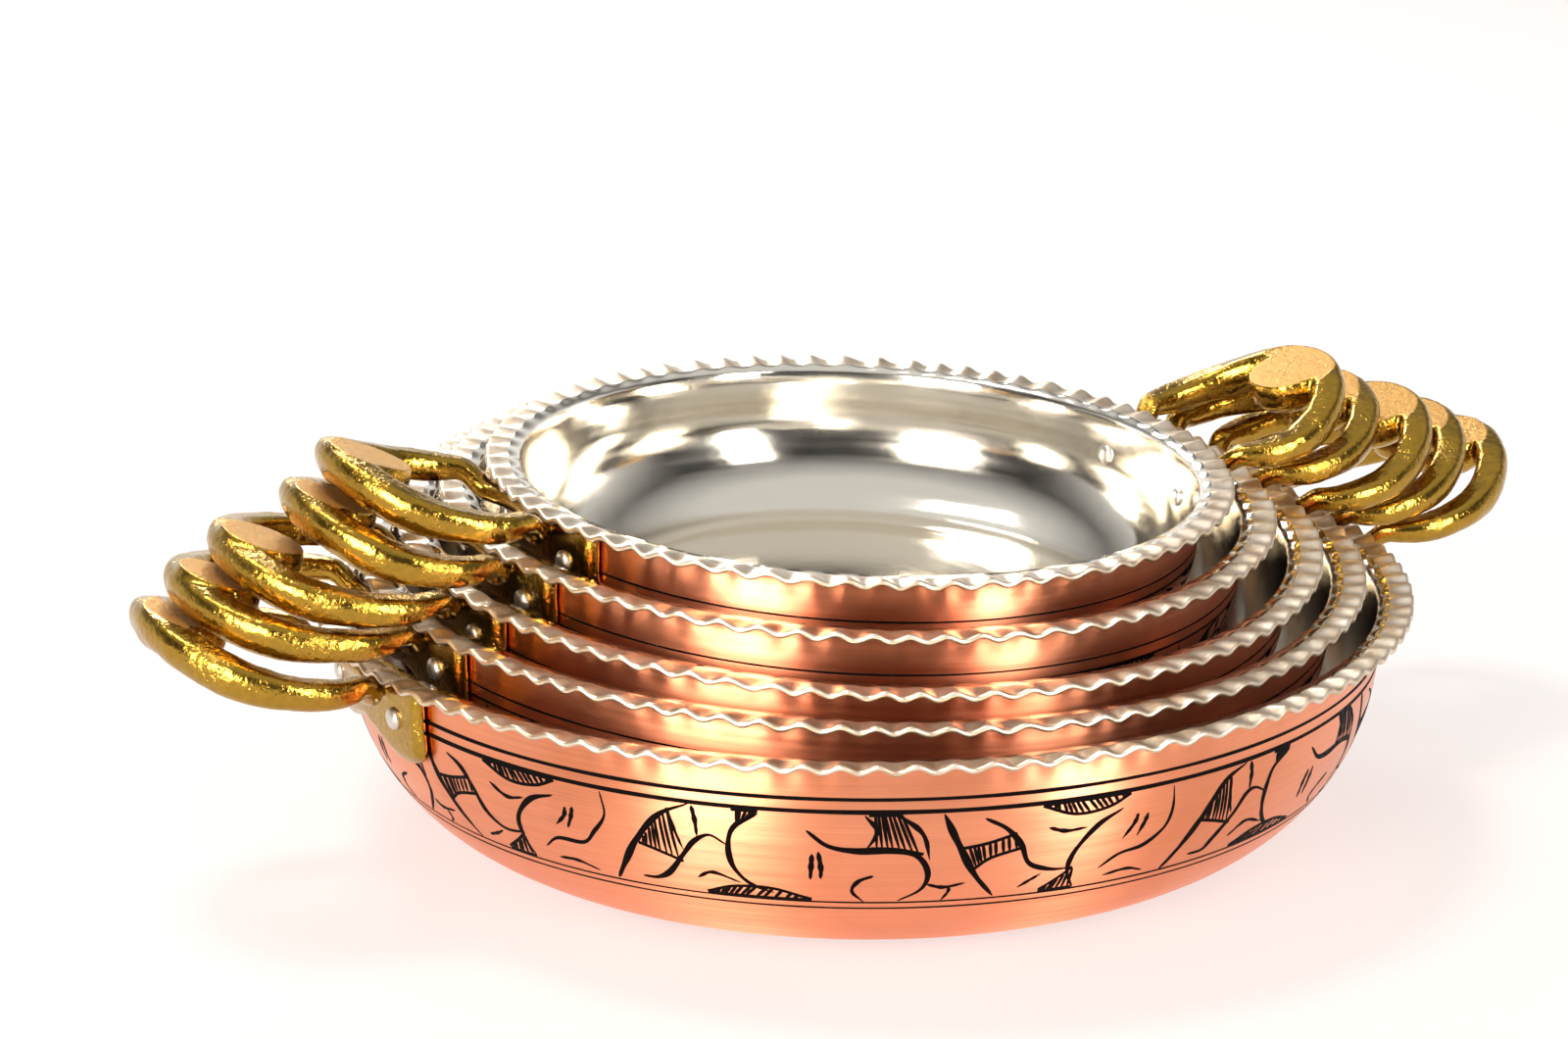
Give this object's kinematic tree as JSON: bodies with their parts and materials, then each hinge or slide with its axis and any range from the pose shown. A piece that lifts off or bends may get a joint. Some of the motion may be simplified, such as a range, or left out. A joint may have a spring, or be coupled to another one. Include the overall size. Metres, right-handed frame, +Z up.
{
  "type": "nesting pan set",
  "caption": "Nesting set of round shallow copper pans with crimped rims and cast brass loop handles, stacked on their handles.",
  "frame": {"origin": "middle of the largest pan's flat underside, on the surface it stands on", "axes": "+X along the largest pan's two handles, towards the right handle; +Y to the back; +Z up, along the largest pan's axis and the way the pans lift out"},
  "size_m": [0.3284, 0.24, 0.0941],
  "materials": {
    "copper": "spun copper, fine turned lines, tinned inside and over the crimped flange",
    "brass": "sand-cast brass, lightly pitted, ground bright on the thumb flats",
    "rivet": "hand-set low round heads, satin"
  },
  "bodies": {
    "pan_5": {"pan_5_shell": "copper", "pan_5_handle_left": "brass", "pan_5_handle_right": "brass", "pan_5_rivet_left_front": "rivet", "pan_5_rivet_left_back": "rivet", "pan_5_rivet_right_front": "rivet", "pan_5_rivet_right_back": "rivet"},
    "pan_4": {"pan_4_shell": "copper", "pan_4_handle_left": "brass", "pan_4_handle_right": "brass", "pan_4_rivet_left_front": "rivet", "pan_4_rivet_left_back": "rivet", "pan_4_rivet_right_front": "rivet", "pan_4_rivet_right_back": "rivet"},
    "pan_3": {"pan_3_shell": "copper", "pan_3_handle_left": "brass", "pan_3_handle_right": "brass", "pan_3_rivet_left_front": "rivet", "pan_3_rivet_left_back": "rivet", "pan_3_rivet_right_front": "rivet", "pan_3_rivet_right_back": "rivet"},
    "pan_2": {"pan_2_shell": "copper", "pan_2_handle_left": "brass", "pan_2_handle_right": "brass", "pan_2_rivet_left_front": "rivet", "pan_2_rivet_left_back": "rivet", "pan_2_rivet_right_front": "rivet", "pan_2_rivet_right_back": "rivet"},
    "pan_1": {"pan_1_shell": "copper", "pan_1_handle_left": "brass", "pan_1_handle_right": "brass", "pan_1_rivet_left_front": "rivet", "pan_1_rivet_left_back": "rivet", "pan_1_rivet_right_front": "rivet", "pan_1_rivet_right_back": "rivet"}
  },
  "joints": [
    {"name": "pan_4_lift", "type": "slide", "parent": "pan_5", "child": "pan_4", "axis": [0, 0, 1], "range_m": [0, 0.06]},
    {"name": "pan_3_lift", "type": "slide", "parent": "pan_4", "child": "pan_3", "axis": [0, 0, 1], "range_m": [0, 0.06]},
    {"name": "pan_2_lift", "type": "slide", "parent": "pan_3", "child": "pan_2", "axis": [0, 0, 1], "range_m": [0, 0.06]},
    {"name": "pan_1_lift", "type": "slide", "parent": "pan_2", "child": "pan_1", "axis": [0, 0, 1], "range_m": [0, 0.06]}
  ]
}
